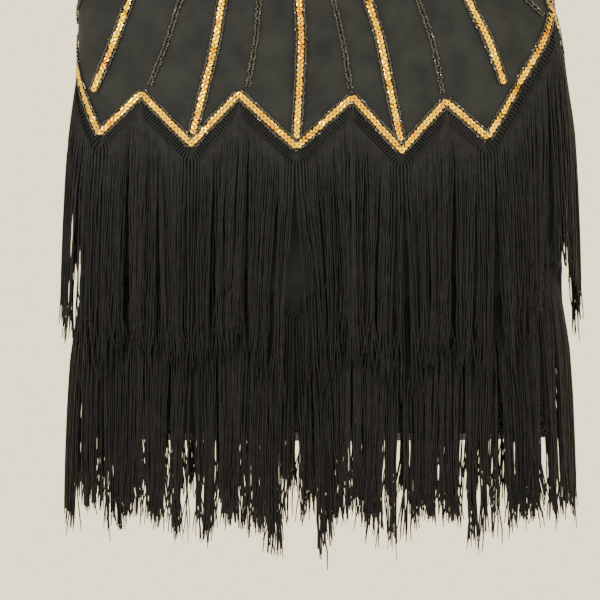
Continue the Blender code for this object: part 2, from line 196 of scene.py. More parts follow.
# %% Make the ribbed mesh
RIBS_PER_METRE = 420
WAVE_TURN = 20  # radians that a wave texture turns through for each unit at scale 1
SHEER_TOP = 31 * MM
SHEER_FADE = 2 * MM
SHEER_ALPHA = 0.8
mesh_cloth = start_finish(
    "ribbed mesh",
    scale=45,
    dark=(0.0105, 0.0122, 0.0135),
    light=(0.0175, 0.020, 0.0215),
    roughness=0.8,
)
set_inputs(
    mesh_cloth.shader, {"Sheen Weight": 0.03, "Specular IOR Level": 0.12, "Sheen Roughness": 0.5}
)
ribs = mesh_cloth.tree.nodes.new("ShaderNodeTexWave")
ribs.bands_direction = "Y"
set_inputs(ribs, {"Scale": RIBS_PER_METRE / WAVE_TURN * 2 * math.pi, "Distortion": 1.5})
raise_pattern(mesh_cloth, ribs, "UV", strength=0.35, distance=0.4 * MM)
print("ribs:", round(1 / RIBS_PER_METRE / MM, 1), "mm apart")

# %% [markdown]
# A map range turns the height above the hem into alpha, so one panel is both the
# single mesh at the hem and the lined mesh above it.

# %% Let light through the single mesh
split = mesh_cloth.tree.nodes.new("ShaderNodeSeparateXYZ")
lined = mesh_cloth.tree.nodes.new("ShaderNodeMapRange")
set_inputs(
    lined,
    {
        "From Min": SHEER_TOP,
        "From Max": SHEER_TOP + SHEER_FADE,
        "To Min": SHEER_ALPHA,
        "To Max": 1.0,
    },
)
for output, target in (
    (mesh_cloth.place.outputs["UV"], split.inputs["Vector"]),
    (split.outputs["Y"], lined.inputs["Value"]),
    (lined.outputs["Result"], mesh_cloth.shader.inputs["Alpha"]),
):
    mesh_cloth.tree.links.new(output, target)
print("single mesh below:", round(SHEER_TOP / MM), "mm")

# %% [markdown]
# The strands are twisted rayon: nearly black, a little blue, with a grey sheen. The
# twist could be modelled as a helix, but four thousand of those would be far too heavy
# for something a millimetre thick, so it is a fine noise.

# %% Make the twisted strand
strand_thread = start_finish(
    "twisted strand",
    scale=160,
    dark=(0.0020, 0.0024, 0.0036),
    light=(0.0062, 0.0068, 0.0092),
    roughness=0.5,
)
set_inputs(strand_thread.shader, {"Sheen Weight": 0.02, "Specular IOR Level": 0.16})
twist = strand_thread.tree.nodes.new("ShaderNodeTexNoise")
set_inputs(twist, {"Scale": 1500})
raise_pattern(strand_thread, twist, "Object", strength=0.4, distance=0.2 * MM)
print("finish:", strand_thread.material.name)

# %% [markdown]
# The sequins are thin gold-coloured film, some of which has rubbed down to copper, so
# gold and copper are the two tones. The beads are faceted black glass, and flat faces
# with a smooth surface are enough to make them glitter at this size.

# %% Make the sequins' film and the beads' glass
gold_film = start_finish(
    "gold sequin",
    scale=38,
    dark=(0.62, 0.25, 0.012),
    light=(0.90, 0.60, 0.02),
    roughness=0.2,
    metallic=1.0,
)
scratches = gold_film.tree.nodes.new("ShaderNodeTexNoise")
set_inputs(scratches, {"Scale": 900})
raise_pattern(gold_film, scratches, "Object", strength=0.15, distance=0.1 * MM)
bead_glass = start_finish(
    "black bead",
    scale=300,
    dark=(0.0015, 0.0015, 0.002),
    light=(0.005, 0.005, 0.0065),
    roughness=0.06,
)
set_inputs(bead_glass.shader, {"Specular IOR Level": 0.9})
print("finishes:", gold_film.material.name, "and", bead_glass.material.name)

# %% [markdown]
# The hanger is plain wood with a steel hook. Both keep the shape of their solids, which
# is right already, and only the material in their slots is changed. The floor gets a
# pale paint.

# %% Finish the hanger and the floor
plain_wood = start_finish(
    "plain wood", scale=14, dark=(0.30, 0.17, 0.08), light=(0.50, 0.33, 0.19), roughness=0.42
)
grain = plain_wood.tree.nodes.new("ShaderNodeTexWave")
grain.bands_direction = "Z"
set_inputs(grain, {"Scale": 60, "Distortion": 6})
raise_pattern(plain_wood, grain, "Object", strength=0.2, distance=0.3 * MM)
steel_wire = start_finish(
    "steel wire",
    scale=90,
    dark=(0.42, 0.42, 0.43),
    light=(0.68, 0.68, 0.69),
    roughness=0.28,
    metallic=1.0,
)
floor_paint = start_finish(
    "pale floor", scale=2, dark=(0.74, 0.70, 0.62), light=(0.80, 0.76, 0.68), roughness=0.8
)
floor.data.materials.append(floor_paint.material)
for node, finish in (("hanger_bar", plain_wood), ("hanger_hook", steel_wire)):
    for material_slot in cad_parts[node].material_slots:
        material_slot.material = finish.material
print("materials:", len(bpy.data.materials))

# %% [markdown]
# The dress could be draped by a simulation, but then no row of stitches could be given
# its place. So the cloth is drawn up from its sections, and everything that is sewn on
# asks for a point of it. Heights in the tables are millimetres above the hem, and
# places round it are quarters from the centre front. Each ring is one level section:
# half its width and depth, how far the pattern has slipped round, and how far to the
# side it leans.

# %% Give the dress its outline
HOOK_ABOVE_HEM = 975 * MM
SHOULDER_HEIGHT = 884 * MM
UNDERARM_HEIGHT = 670 * MM
HALF_WAY_ROUND = 2
ALL_ROUND = 4
Ring = namedtuple("Ring", "height half_width half_depth turn lean")
RINGS = (
    Ring(0, 205, 43, -22, 1),
    Ring(60, 209, 45, -22, 3),
    Ring(150, 214, 48, -22, 4),
    Ring(262, 218, 50, -22, 4.5),
    Ring(310, 218, 50, -19.5, 4.5),
    Ring(350, 217, 49.5, -17, 3.5),
    Ring(393, 213, 48, -15, -0.5),
    Ring(470, 207, 45, -13, -1),
    Ring(560, 210, 46, -11, -1),
    Ring(640, 214, 45, -10, -1),
    Ring(720, 213, 38, -8, -1),
    Ring(800, 211, 24, -4, 0),
    Ring(876, 210, 11, 0, 0),
)
TOP_HALF_WIDTH = RINGS[-1].half_width * MM
print("rings:", len(RINGS))

# %% [markdown]
# The zigzag border and the lower tier turn at the same corners, which hand sewing has
# left a little uneven. The corners also set the columns by which neck, straps and
# armholes are counted, five columns from corner to corner.

# %% Set the corners of the zigzag
Corner = namedtuple("Corner", "around border lower")
FRONT_CORNERS = (
    Corner(-1.00, 378, 150),
    Corner(-0.755, 270, 114),
    Corner(-0.59, 304, 149),
    Corner(-0.39, 259, 113),
    Corner(-0.222, 302, 145),
    Corner(0.00, 256, 111),
    Corner(0.20, 299, 151),
    Corner(0.39, 253, 109),
    Corner(0.548, 296, 147),
    Corner(0.712, 265, 110),
    Corner(1.00, 380, 152),
)
BACK_CORNERS = (
    Corner(1.00, 380, 152),
    Corner(1.22, 268, 113),
    Corner(1.41, 302, 148),
    Corner(1.61, 258, 112),
    Corner(1.80, 303, 147),
    Corner(2.00, 257, 111),
    Corner(2.19, 301, 149),
    Corner(2.39, 256, 110),
    Corner(2.60, 302, 150),
    Corner(2.79, 269, 114),
    Corner(3.00, 378, 150),
)
STEPS_BETWEEN_CORNERS = 5
STEPS_TO_SIDE = len(FRONT_CORNERS) // 2 * STEPS_BETWEEN_CORNERS


def zigzag_height(corners, column, around):
    """Height of a zigzag line at a place round the tube."""
    heights = [getattr(corner, column) for corner in corners]
    return float(np.interp(around, [corner.around for corner in corners], heights)) * MM


print("columns from centre to side:", STEPS_TO_SIDE)

# %% [markdown]
# Cloth that hangs free falls into long shallow troughs, wide ones that the body of the
# tube makes and narrow ones that start at the stitching. Each starts at a height, is at
# its full depth at another, and is a smooth hollow across.

# %% Lay the folds
Fold = namedtuple("Fold", "around half_width depth starts full")
FOLDS = (
    Fold(-0.68, 0.13, 2.6, 560, 260),
    Fold(-0.30, 0.12, 2.4, 470, 120),
    Fold(0.09, 0.11, 3.2, 620, 300),
    Fold(0.47, 0.13, 2.8, 500, 160),
    Fold(0.84, 0.12, 3.0, 480, 330),
    Fold(1.34, 0.14, 3.0, 600, 240),
    Fold(1.70, 0.12, 2.2, 520, 180),
    Fold(2.12, 0.13, 3.1, 640, 280),
    Fold(2.52, 0.12, 2.5, 540, 150),
    Fold(2.82, 0.13, 2.7, 500, 260),
    Fold(-0.50, 0.03, 0.8, 420, 300),
    Fold(0.09, 0.025, 1.1, 520, 330),
    Fold(0.84, 0.03, 1.0, 430, 340),
    Fold(0.30, 0.03, 0.6, 600, 420),
    Fold(1.52, 0.03, 0.9, 460, 300),
    Fold(2.30, 0.025, 1.0, 560, 320),
    Fold(2.66, 0.03, 0.7, 430, 330),
)


def smooth_step(share):
    """Ease from 0 to 1."""
    share = min(max(share, 0.0), 1.0)
    return share * share * (3 - 2 * share)


def trough_depth(around, height):
    """How far the cloth is drawn in by its folds."""
    depth = 0.0
    for fold in FOLDS:
        off_middle = (around - fold.around + HALF_WAY_ROUND) % ALL_ROUND - HALF_WAY_ROUND
        away = abs(off_middle) / fold.half_width
        if away < 1:
            drop = (fold.starts * MM - height) / ((fold.starts - fold.full) * MM)
            depth += fold.depth * MM * math.cos(away * math.pi / 2) ** 2 * smooth_step(drop)
    return depth


print("troughs:", len(FOLDS))

# %% [markdown]
# Between two rings the sizes run on a smooth curve, which a cubic with the slopes of
# its neighbours gives. A section is a rounded oblong, so its formula is an ellipse's
# with a higher power. Places round the cloth are counted along the section's line.

# %% Draw a section at any height
SECTION_POWER = 2.3
SECTION_POINTS = 361


def read_table(column, at):
    """A column of the rings at a height in metres, on a smooth curve through the rows."""
    heights = [row.height * MM for row in RINGS]
    values = [getattr(row, column) for row in RINGS]
    at = min(max(at, heights[0]), heights[-1])
    low = max(i for i in range(len(RINGS) - 1) if heights[i] <= at)
    step = heights[low + 1] - heights[low]
    share = (at - heights[low]) / step

    def slope(index):
        before = max(index - 1, 0)
        after = min(index + 1, len(RINGS) - 1)
        return (values[after] - values[before]) / (heights[after] - heights[before])

    return (
        (2 * share**3 - 3 * share**2 + 1) * values[low]
        + (share**3 - 2 * share**2 + share) * step * slope(low)
        + (3 * share**2 - 2 * share**3) * values[low + 1]
        + (share**3 - share**2) * step * slope(low + 1)
    )


@lru_cache(maxsize=None)
def ring_at(level):
    """The tube's outline at a level, with its turn and lean there."""
    half_width = read_table("half_width", level) * MM
    half_depth = read_table("half_depth", level) * MM
    angles = np.linspace(-math.pi, math.pi, SECTION_POINTS)
    power = 2 / SECTION_POWER
    x_line = half_width * np.sign(np.sin(angles)) * np.abs(np.sin(angles)) ** power
    y_line = -half_depth * np.sign(np.cos(angles)) * np.abs(np.cos(angles)) ** power
    along = np.concatenate(([0.0], np.cumsum(np.hypot(np.diff(x_line), np.diff(y_line)))))
    along -= along[-1] / 2
    return x_line, y_line, along, read_table("turn", level) * MM, read_table("lean", level) * MM


QUARTER = ring_at(UNDERARM_HEIGHT)[2][-1] / 2
print("a quarter of the way round:", round(QUARTER, 3), "m")

# %% [markdown]
# The straps' ends slope down from the neck towards the arms, as shoulders do. The last
# few millimetres of a strap bend over the hanger's bar, so the tube itself ends at the
# foot of that bend.

# %% Follow the shoulder
SHOULDER_SLOPE = 0.32
CAP_HEIGHT = 8 * MM
NECK_STEP = 11
ARM_STEP = 17


def strap_offset(step):
    """Distance from the centre of a column at the top."""
    return TOP_HALF_WIDTH * step / STEPS_TO_SIDE


def shoulder_height(offset):
    """Height of the shoulder line at a distance from the centre, from the neck outwards."""
    return SHOULDER_HEIGHT - SHOULDER_SLOPE * (offset - strap_offset(NECK_STEP))


def cap_base(around):
    """Height at which a panel starts to bend over the hanger's bar."""
    nearest_centre = HALF_WAY_ROUND * round(around / HALF_WAY_ROUND)
    offset = abs(around - nearest_centre) * TOP_HALF_WIDTH
    return shoulder_height(max(offset, strap_offset(NECK_STEP))) - CAP_HEIGHT


strap_width = strap_offset(ARM_STEP) - strap_offset(NECK_STEP)
print("strap:", round(strap_width / MM), "mm wide")

# %% [markdown]
# With those, two functions find any point of the cloth and the direction it faces.
# Above the third ring from the top, heights are stretched so that the last ring meets
# the shoulder line all the way along, although that slopes.

# %% Find any point of the cloth
NUDGE = 0.5 * MM
NORMAL_REACH = 1 * MM
NORMAL_REACH_AROUND = 0.003
LEVEL_DIGITS = 4  # sections are kept for each tenth of a millimetre
STRETCH_FROM = RINGS[-3].height * MM


def cloth_point(around, height):
    """A point of the cloth, in quarters round from the centre front and a height."""
    level = height
    if height > STRETCH_FROM:
        rise = (RINGS[-1].height * MM - STRETCH_FROM) / (cap_base(around) - STRETCH_FROM)
        level = STRETCH_FROM + (height - STRETCH_FROM) * rise
    x_line, y_line, along, turn, lean = ring_at(round(level, LEVEL_DIGITS))
    half_way = along[-1]
    reach = (around * half_way / HALF_WAY_ROUND + turn + half_way) % (2 * half_way) - half_way
    ahead = min(reach + NUDGE, half_way)
    x, x_ahead, x_back = np.interp((reach, ahead, ahead - 2 * NUDGE), along, x_line)
    y, y_ahead, y_back = np.interp((reach, ahead, ahead - 2 * NUDGE), along, y_line)
    outward = Vector((y_ahead - y_back, x_back - x_ahead, 0)).normalized()
    point = Vector((x + lean, y, height - HOOK_ABOVE_HEM))
    return point - outward * trough_depth(around, height)


def cloth_normal(around, height):
    """The outward direction of the cloth at a point."""
    lower = min(height, cap_base(around) - 2 * NORMAL_REACH) - NORMAL_REACH
    right = cloth_point(around + NORMAL_REACH_AROUND, height)
    left = cloth_point(around - NORMAL_REACH_AROUND, height)
    upwards = cloth_point(around, lower + 2 * NORMAL_REACH) - cloth_point(around, lower)
    return (right - left).cross(upwards).normalized()


print("centre front at the hem:", cloth_point(0, 0))

# %% [markdown]
# A panel is one piece of cloth with a curved upper edge: the neck, the strap's end and
# the armhole. The front's neck is a straight V and the back's a shallow scoop, which
# is only a higher power of the same line.

# %% Cut the panels' upper edge
Neck = namedtuple("Neck", "height power")
FRONT_NECK = Neck(height=720 * MM, power=1.0)
BACK_NECK = Neck(height=800 * MM, power=2.0)
ARMHOLE_POWER = 2.5


def column_places(corners):
    """The places of the columns that the neck and armholes are counted in."""
    marks = [corner.around for corner in corners]
    steps = np.arange(len(marks)) * STEPS_BETWEEN_CORNERS
    return np.interp(np.arange(steps[-1] + 1), steps, marks)


def top_edge(step, around, neck):
    """Height of a panel's upper edge, a number of columns from its centre."""
    strap_end = cap_base(around) + CAP_HEIGHT
    if step <= NECK_STEP:
        return neck.height + (strap_end - neck.height) * (step / NECK_STEP) ** neck.power
    if step <= ARM_STEP:
        return strap_end
    share = (step - ARM_STEP) / (STEPS_TO_SIDE - ARM_STEP)
    shoulder = shoulder_height(strap_offset(ARM_STEP))
    return UNDERARM_HEIGHT + (shoulder - UNDERARM_HEIGHT) * (1 - share) ** ARMHOLE_POWER


print("armhole reaches down to:", round(UNDERARM_HEIGHT / MM), "mm above the hem")

# %% [markdown]
# A panel starts as a flat grid, as it lies on the cutting table, and is then wrapped on
# the tube. Its flat places are kept as the UV map. The wrapping can turn it inside out,
# so it is faced outwards before Solidify gives it its thickness on the inner side.

# %% Wrap a flat panel on the tube
SEAM_GAP = 0.3 * MM
FACING_HEIGHT = -600 * MM


def wrapped(around, height, side):
    """Where a point of a panel hangs: on the tube, or bent over the hanger's bar."""
    base = cap_base(around)
    if height <= base:
        return cloth_point(around, height)
    foot = cloth_point(around, base)
    angle = math.asin(min((height - base) / CAP_HEIGHT, 1.0))
    depth = abs(foot.y) * math.cos(angle) + SEAM_GAP / 2
    return (foot.x, side * depth, foot.z + height - base)


def face_outwards(panel, side):
    """Turn a panel's faces to its outer side, which is -1 at the front and 1 at the back."""
    bpy.ops.object.mode_set(mode="EDIT")
    bpy.ops.mesh.select_all(action="SELECT")
    bpy.ops.mesh.normals_make_consistent(inside=False)
    bpy.ops.object.mode_set(mode="OBJECT")
    faces = panel.data.polygons
    middle = min(faces, key=lambda face: abs(face.center.x) + abs(face.center.z - FACING_HEIGHT))
    if middle.normal.y * side < 0:
        panel.data.flip_normals()


print("gap at the side seams:", round(SEAM_GAP / MM, 1), "mm")

# %% [markdown]
# The grid is fine enough for the neck's and the armholes' curves to read as smooth
# cloth. It is one unit to each side of its centre, and a unit is a quarter of the way
# round, so that it stops half a seam's gap short of the side seam.

# %% Hang both panels
GRID_ACROSS = 120
GRID_UP = 96
GRID_SIZE = 2
SHELL_THICKNESS = 0.8 * MM
SMOOTH_BELOW = math.radians(50)


def hang_panel(name, corners, side, neck):
    """One panel, from a flat grid to a hung shell."""
    bpy.ops.object.select_all(action="DESELECT")
    bpy.ops.mesh.primitive_grid_add(
        x_subdivisions=GRID_ACROSS, y_subdivisions=GRID_UP, size=GRID_SIZE
    )
    panel = bpy.context.object
    panel.name = name
    places = column_places(corners)
    trim = SEAM_GAP / 2 / QUARTER
    flat_places = []
    for vertex in panel.data.vertices:
        around = (places[0] + places[-1]) / 2 + vertex.co.x * (1 - trim)
        step = abs(np.interp(around, places, np.arange(len(places))) - STEPS_TO_SIDE)
        height = (vertex.co.y / GRID_SIZE + 0.5) * top_edge(step, around, neck)
        flat_places.append((around * QUARTER, height))
        vertex.co = wrapped(around, height, side)
    layer = panel.data.uv_layers.active
    for loop in panel.data.loops:
        layer.data[loop.index].uv = flat_places[loop.vertex_index]
    face_outwards(panel, side)
    bpy.ops.object.modifier_add(type="SOLIDIFY")
    panel.modifiers[-1].thickness = SHELL_THICKNESS
    panel.modifiers[-1].offset = -1
    bpy.ops.object.modifier_apply(modifier=panel.modifiers[-1].name)
    bpy.ops.object.shade_smooth_by_angle(angle=SMOOTH_BELOW)
    panel.data.materials.append(mesh_cloth.material)
    return panel


front = hang_panel("front_panel", FRONT_CORNERS, -1, FRONT_NECK)
back = hang_panel("back_panel", BACK_CORNERS, 1, BACK_NECK)
for panel, node in ((front, "dress_front"), (back, "dress_back")):
    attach(panel, "root")
    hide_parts(node)
print("panels:", len(front.data.polygons), "+", len(back.data.polygons), "faces")

# %% [markdown]
# Fringe comes as a header of close ribs, each of which is the top of a few strands. The
# ribs stand square to the zigzag, and off the cloth by the thickness of their tape. The
# upper tier is sewn on just below the border, and the lower one on a line of its own.
# Hair could be grown there, but strands that are placed one by one can be parted and
# gathered where a maker wants it.

# %% Set out the headers
Tier = namedtuple("Tier", "name column below flare flare_over")
UPPER = Tier("upper", "border", below=12, flare=12.5, flare_over=110)
LOWER = Tier("lower", "lower", below=0, flare=13, flare_over=90)
RIB_PITCH = 1.7 * MM
CORNER_SOFTNESS = 0.03
HEADER_HALF_HEIGHT = 5 * MM
HEADER_PROFILE = (  # how far below the header's middle, and how far off the cloth
    (-HEADER_HALF_HEIGHT, 0.9 * MM),
    (0, 1.9 * MM),
    (HEADER_HALF_HEIGHT, 2.1 * MM),
)


def rib_points(tier, corners, around):
    """The header's rib at one place: three points square to the zigzag."""
    before = zigzag_height(corners, tier.column, around - CORNER_SOFTNESS)
    after = zigzag_height(corners, tier.column, around + CORNER_SOFTNESS)
    slope = math.atan2(after - before, 2 * CORNER_SOFTNESS * QUARTER)
    line = zigzag_height(corners, tier.column, around) - tier.below * MM
    points = []
    for down, clear in HEADER_PROFILE:
        place = around + math.sin(slope) * down / QUARTER
        height = line - math.cos(slope) * down
        points.append(cloth_point(place, height) + cloth_normal(place, height) * clear)
    return points


print("first rib:", rib_points(UPPER, FRONT_CORNERS, FRONT_CORNERS[0].around)[0])

# %% [markdown]
# A tier doesn't hang evenly. In a few places two groups of strands have parted and
# leave a gap that widens downwards, a wedge that the eye picks out at once. Each is
# listed, and pushes away the strands near it.

# %% Part the strands
Parting = namedtuple("Parting", "tier around gap")
PARTINGS = (
    Parting("upper", -0.20, 6),
    Parting("upper", 0.00, 20),
    Parting("upper", 0.39, 7),
    Parting("lower", -0.39, 6),
    Parting("lower", 0.00, 8),
    Parting("lower", 0.39, 7),
    Parting("lower", 0.75, 11),
    Parting("upper", 1.61, 12),
    Parting("upper", 2.19, 7),
    Parting("lower", 1.41, 8),
    Parting("lower", 2.00, 9),
    Parting("lower", 2.60, 7),
)
PARTING_REACH = 0.26
PARTING_OPEN_BY = 0.77


def parting_shift(tier, around, share):
    """Sideways shift of a strand away from the partings near it."""
    shift = 0.0
    for parting in PARTINGS:
        away = around - parting.around
        if parting.tier == tier.name and abs(away) < PARTING_REACH:
            push = parting.gap * MM / 2 * (1 - abs(away) / PARTING_REACH)
            shift += math.copysign(push, away) * smooth_step(share / PARTING_OPEN_BY)
    return shift


print("partings:", len(PARTINGS))

# %% [markdown]
# Strands cling together in clumps and part from the next clump, which is what gives a
# fringe its life. A clump takes three to eight ribs, draws their strands in towards its
# middle and off to one side, and ends a little higher or lower than the next.

# %% Gather the ribs in clumps
CLUMP_RIBS = (3, 8)
CLUMP_PULL = (0.15, 0.75)
CLUMP_ASIDE = 3 * MM
CLUMP_UNEVENNESS = 7 * MM
Clump = namedtuple("Clump", "until middle pull aside longer")


def gather_clump(first_rib, dice):
    """The clump that starts at a rib."""
    until = first_rib + dice.randint(*CLUMP_RIBS)
    pull = dice.uniform(*CLUMP_PULL)
    aside = dice.gauss(0, CLUMP_ASIDE)
    longer = dice.gauss(0, CLUMP_UNEVENNESS)
    return Clump(until, (first_rib + until - 1) / 2, pull, aside, longer)


print("ribs in a clump:", CLUMP_RIBS)

# %% [markdown]
# Within its clump each strand has ways of its own. It wanders, waves as it untwists,
# hangs in front of or behind its neighbours, and curls at the tip. A few are broken
# short. The dice are seeded by the piece's name, so every run draws the same strands.

# %% Draw each strand's ways
STRAND_LENGTH = 190 * MM
LENGTH_SPREAD = 6 * MM
BROKEN_SHARE = 0.06
BROKEN_BY = (10 * MM, 45 * MM)
LAYERS = (-0.8 * MM, 3.2 * MM)
WANDER = 2.3 * MM
WAVE_SIZES = (0.25 * MM, 0.9 * MM)
WAVE_TURNS = (3, 7)
TIP_CURL = 3.2 * MM
Ways = namedtuple("Ways", "length layer wander wave phase turns curl")


def draw_ways(clump, dice):
    """How one strand of a clump hangs."""
    length = STRAND_LENGTH + clump.longer + dice.gauss(0, LENGTH_SPREAD)
    if dice.random() < BROKEN_SHARE:
        length -= dice.uniform(*BROKEN_BY)
    layer = dice.uniform(*LAYERS)
    wander = dice.gauss(0, WANDER)
    wave = dice.uniform(*WAVE_SIZES)
    phase = dice.uniform(0, 2 * math.pi)
    turns = dice.uniform(*WAVE_TURNS)
    curl = dice.gauss(0, TIP_CURL)
    return Ways(length, layer, wander, wave, phase, turns, curl)


print("strands about:", round(STRAND_LENGTH / MM), "mm long")

# %% [markdown]
# A strand is a line of points: its rib, and then eleven places down its length, closer
# together where it leaves the header and at its tip. Below the rib it hangs plumb, held
# off the cloth by the strands under it, and its ways take effect along its length.

# %% Hang one strand
STRANDS_PER_RIB = 4
STRAND_SPACING = 0.3 * MM
DROPS = (0.04, 0.11, 0.2, 0.3, 0.41, 0.52, 0.63, 0.74, 0.84, 0.93, 1.0)
SWAY = 2.5 * MM
SWAY_RATE = 9  # radians for each quarter of the way round
CLUMP_CLOSED_BY = 5 / 6
LAYER_REACHED_BY = 1 / 3
WAVE_FULL_BY = 1 / 4
CURL_FROM = 0.8
WANDER_POWER = 1.3
Rib = namedtuple("Rib", "around points outward sideways to_middle")


def strand_shift(tier, rib, clump, ways, share):
    """How far to the side a strand hangs, at a share of its length."""
    swing = math.sin(ways.phase + ways.turns * share * 2 * math.pi)
    shift = SWAY * share * math.sin(rib.around * SWAY_RATE)
    shift += parting_shift(tier, rib.around, share)
    shift += rib.to_middle * clump.pull * smooth_step(share / CLUMP_CLOSED_BY)
    shift += (clump.aside + ways.wander) * share**WANDER_POWER
    shift += ways.wave * swing * min(share / WAVE_FULL_BY, 1)
    shift += ways.curl * smooth_step((share - CURL_FROM) / (1 - CURL_FROM))
    return shift


def strand_points(tier, rib, clump, number, dice):
    """The points of one of a rib's strands, from the header down."""
    ways = draw_ways(clump, dice)
    aside = (number - (STRANDS_PER_RIB - 1) / 2) * STRAND_SPACING
    points = [point + rib.sideways * aside for point in rib.points]
    root = points[-1]
    for share in DROPS:
        drop = share * ways.length
        flare = tier.flare * MM * (1 - math.exp(-drop / (tier.flare_over * MM)))
        depth = flare + ways.layer * smooth_step(share / LAYER_REACHED_BY)
        shift = strand_shift(tier, rib, clump, ways, share)
        point = root + rib.outward * depth + rib.sideways * shift
        point.z -= drop
        points.append(point)
    return points


print("points on a strand:", len(HEADER_PROFILE) + len(DROPS))

# %% [markdown]
# A tier's strands are splines of one curve, which is far quicker than a mesh for each.
# A bevel gives them four sides and a radius thins their tips. The curve is then turned
# into a mesh and shaded smooth, so that the four sides don't show.

# %% Hang the fringe
STRAND_RADIUS = 0.62 * MM
TIP_SHARE = 0.6
HANG_HEIGHT = 200 * MM  # where the cloth's facing is read for a whole strand


def start_curve(name):
    """An empty curve with a strand's thickness."""
    curve = bpy.data.curves.new(name, "CURVE")
    curve.dimensions = "3D"
    curve.bevel_depth = STRAND_RADIUS
    curve.bevel_resolution = 0
    curve.use_fill_caps = True
    return curve


def add_strand(curve, points):
    """A spline through a strand's points, thinner at the tip."""
    spline = curve.splines.new("POLY")
    spline.points.add(len(points) - 1)
    spline.points.foreach_set("co", [value for point in points for value in (*point, 1.0)])
    spline.points[-1].radius = TIP_SHARE


def as_mesh(name, curve):
    """The curve as a smooth mesh object."""
    fringe = bpy.data.objects.new(name, curve)
    bpy.context.scene.collection.objects.link(fringe)
    bpy.ops.object.select_all(action="DESELECT")
    fringe.select_set(True)
    bpy.context.view_layer.objects.active = fringe
    bpy.ops.object.convert(target="MESH")
    bpy.ops.object.shade_smooth()
    return bpy.context.object


def hang_fringe(name, tier, corners, node):
    """One tier on one panel."""
    dice = random.Random(name)
    first = corners[0].around
    width = corners[-1].around - first
    count = int(width * QUARTER / RIB_PITCH)
    curve = start_curve(name)
    clump = gather_clump(0, dice)
    for index in range(count):
        if index >= clump.until:
            clump = gather_clump(index, dice)
        around = first + (index + 0.5) * width / count
        facing = cloth_normal(around, HANG_HEIGHT)
        outward = Vector((facing.x, facing.y, 0)).normalized()
        sideways = Vector((-outward.y, outward.x, 0))
        to_middle = (clump.middle - index) * RIB_PITCH
        rib = Rib(around, rib_points(tier, corners, around), outward, sideways, to_middle)
        for number in range(STRANDS_PER_RIB):
            add_strand(curve, strand_points(tier, rib, clump, number, dice))
    fringe = as_mesh(name, curve)
    fringe.data.materials.clear()
    fringe.data.materials.append(strand_thread.material)
    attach(fringe, "root")
    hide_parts(node)
    print(name, count * STRANDS_PER_RIB, "strands,", len(fringe.data.polygons), "faces")
    return fringe


fringes = {
    "front": [
        hang_fringe("front_upper_fringe", UPPER, FRONT_CORNERS, "fringe_upper_front"),
        hang_fringe("front_lower_fringe", LOWER, FRONT_CORNERS, "fringe_lower_front"),
    ],
    "back": [
        hang_fringe("back_upper_fringe", UPPER, BACK_CORNERS, "fringe_upper_back"),
        hang_fringe("back_lower_fringe", LOWER, BACK_CORNERS, "fringe_lower_back"),
    ],
}

# %% [markdown]
# A sequin is a thin disc with a small hole, and a bead is a bit of glass with a few
# faces, a little longer than it is thick. One of each is enough: a flattened torus and
# a squashed ball of twenty faces. There are thousands of copies, so neither has more
# than a few dozen faces.

# %% Model one sequin and one bead
SEQUIN_RADIUS = 2.8 * MM
HOLE_RADIUS = 0.7 * MM
SEQUIN_SIDES = 10
RIM_SIDES = 4
SEQUIN_SQUASH = (1, 1, 0.2)
BEAD_RADIUS = 1.15 * MM
BEAD_SQUASH = (1.25, 0.9, 0.9)
Shape = namedtuple("Shape", "points faces")


def squash_and_take(amount):
    """Squash the new primitive and take its points and faces. The primitive goes."""
    bpy.ops.object.mode_set(mode="EDIT")
    bpy.ops.transform.resize(value=amount)
    bpy.ops.object.mode_set(mode="OBJECT")
    thing = bpy.context.object
    points = np.array([tuple(vertex.co) for vertex in thing.data.vertices])
    faces = [tuple(face.vertices) for face in thing.data.polygons]
    bpy.data.objects.remove(thing)
    return Shape(points, faces)


bpy.ops.object.select_all(action="DESELECT")
bpy.ops.mesh.primitive_torus_add(
    major_segments=SEQUIN_SIDES,
    minor_segments=RIM_SIDES,
    major_radius=(SEQUIN_RADIUS + HOLE_RADIUS) / 2,
    minor_radius=(SEQUIN_RADIUS - HOLE_RADIUS) / 2,
)
SEQUIN = squash_and_take(SEQUIN_SQUASH)
bpy.ops.mesh.primitive_ico_sphere_add(subdivisions=1, radius=BEAD_RADIUS)
BEAD = squash_and_take(BEAD_SQUASH)
print("sequin faces:", len(SEQUIN.faces), "bead faces:", len(BEAD.faces))

# %% [markdown]
# Everything is sewn on along lines. A line is many close places on the cloth, and its
# stitches are even steps along it, each with the way that the row runs there and the
# way that the cloth faces.

# %% Step along a line of the pattern
Stitch = namedtuple("Stitch", "point direction normal")


def stitches(places, pitch):
    """Even steps along a line of (around, height) places."""
    points = [cloth_point(*place) for place in places]
    steps = [(b - a).length for a, b in zip(points, points[1:])]
    along = np.concatenate(([0.0], np.cumsum(steps)))
    found = []
    for distance in np.arange(pitch / 2, along[-1], pitch):
        around = np.interp(distance, along, [place[0] for place in places])
        height = np.interp(distance, along, [place[1] for place in places])
        index = min(int(np.searchsorted(along, distance)), len(points) - 1)
        direction = (points[index] - points[index - 1]).normalized()
        found.append(Stitch(cloth_point(around, height), direction, cloth_normal(around, height)))
    return found


straight = stitches([(0, 0), (0, 100 * MM)], 10 * MM)
print("stitches on 100 mm at 10 mm:", len(straight))

# %% [markdown]
# A sequin laps over the last one in its row, so it is tilted. A bead may also turn to
# the side on its thread, and nothing that is sewn by hand sits quite square. Thousands
# of objects would be slow, so one joined mesh holds a copy at every spot.

# %% Place and join the copies
WOBBLE = 0.14  # radians


